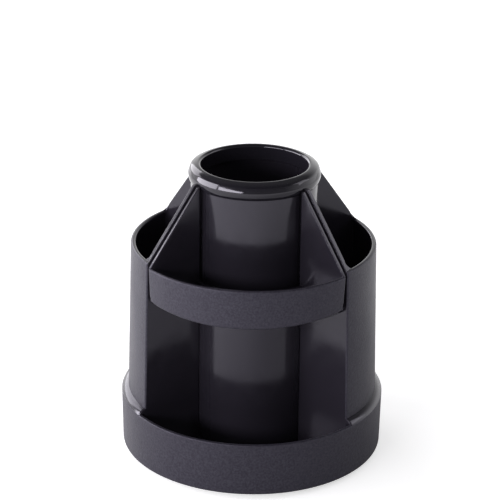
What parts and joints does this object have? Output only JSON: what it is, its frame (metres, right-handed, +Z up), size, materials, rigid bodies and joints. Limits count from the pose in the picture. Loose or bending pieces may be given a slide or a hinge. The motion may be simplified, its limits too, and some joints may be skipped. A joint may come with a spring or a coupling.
{
  "type": "rotating desk organizer with drawers",
  "caption": "Round charcoal desk organizer that turns on its foot, with a tall centre cup, open side bins, low compartments and pull-out drawer trays.",
  "frame": {"origin": "on the desk, on the turning axis, level with the underside of the rubber pads", "axes": "+Z up along the turning axis, -Y towards the front drawer, +X towards the right bin"},
  "size_m": [0.1188, 0.1188, 0.1352],
  "materials": {
    "charcoal_matte": "moulded plastic with a fine matte grain outside",
    "charcoal_gloss": "moulded plastic, polished",
    "collar_gloss": "moulded plastic, polished",
    "drawer_charcoal": "moulded plastic, matte band in front and smooth tray behind it",
    "foot_plastic": "moulded plastic, plain",
    "cage_plastic": "unpainted natural plastic",
    "pad_rubber": "soft rubber, dull",
    "screw_steel": "zinc plated",
    "washer_steel": "plain pressed steel",
    "ball_steel": "polished bearing balls"
  },
  "bodies": {
    "foot": {"swivel_foot": "foot_plastic", "foot_pads": "pad_rubber", "pivot_screw": "screw_steel", "pivot_washer": "washer_steel"},
    "bearing": {"ball_cage": "cage_plastic", "bearing_balls": "ball_steel"},
    "organizer": {"base_dish": "charcoal_matte", "right_bin": "charcoal_matte", "left_bin": "charcoal_matte", "bin_screws": "screw_steel", "centre_cup": "charcoal_gloss", "cup_screws": "screw_steel", "cup_collar": "collar_gloss", "front_shelf": "charcoal_matte", "back_shelf": "charcoal_matte"},
    "front_drawer": {"front_drawer": "drawer_charcoal"},
    "back_drawer": {"back_drawer": "drawer_charcoal"}
  },
  "joints": [
    {"name": "turntable", "type": "hinge", "parent": "foot", "child": "organizer", "pos_m": [0, 0, 0.0048], "axis": [0, 0, 1], "continuous": true},
    {"name": "cage_turn", "type": "hinge", "parent": "foot", "child": "bearing", "pos_m": [0, 0, 0.0048], "axis": [0, 0, 1], "continuous": true},
    {"name": "front_drawer_slide", "type": "slide", "parent": "organizer", "child": "front_drawer", "axis": [0, -1, 0], "range_m": [0, 0.016]},
    {"name": "back_drawer_slide", "type": "slide", "parent": "organizer", "child": "back_drawer", "axis": [0, 1, 0], "range_m": [0, 0.016]}
  ],
  "couplings": [
    {"joint": "cage_turn", "follows": "turntable", "ratio": 0.5}
  ]
}
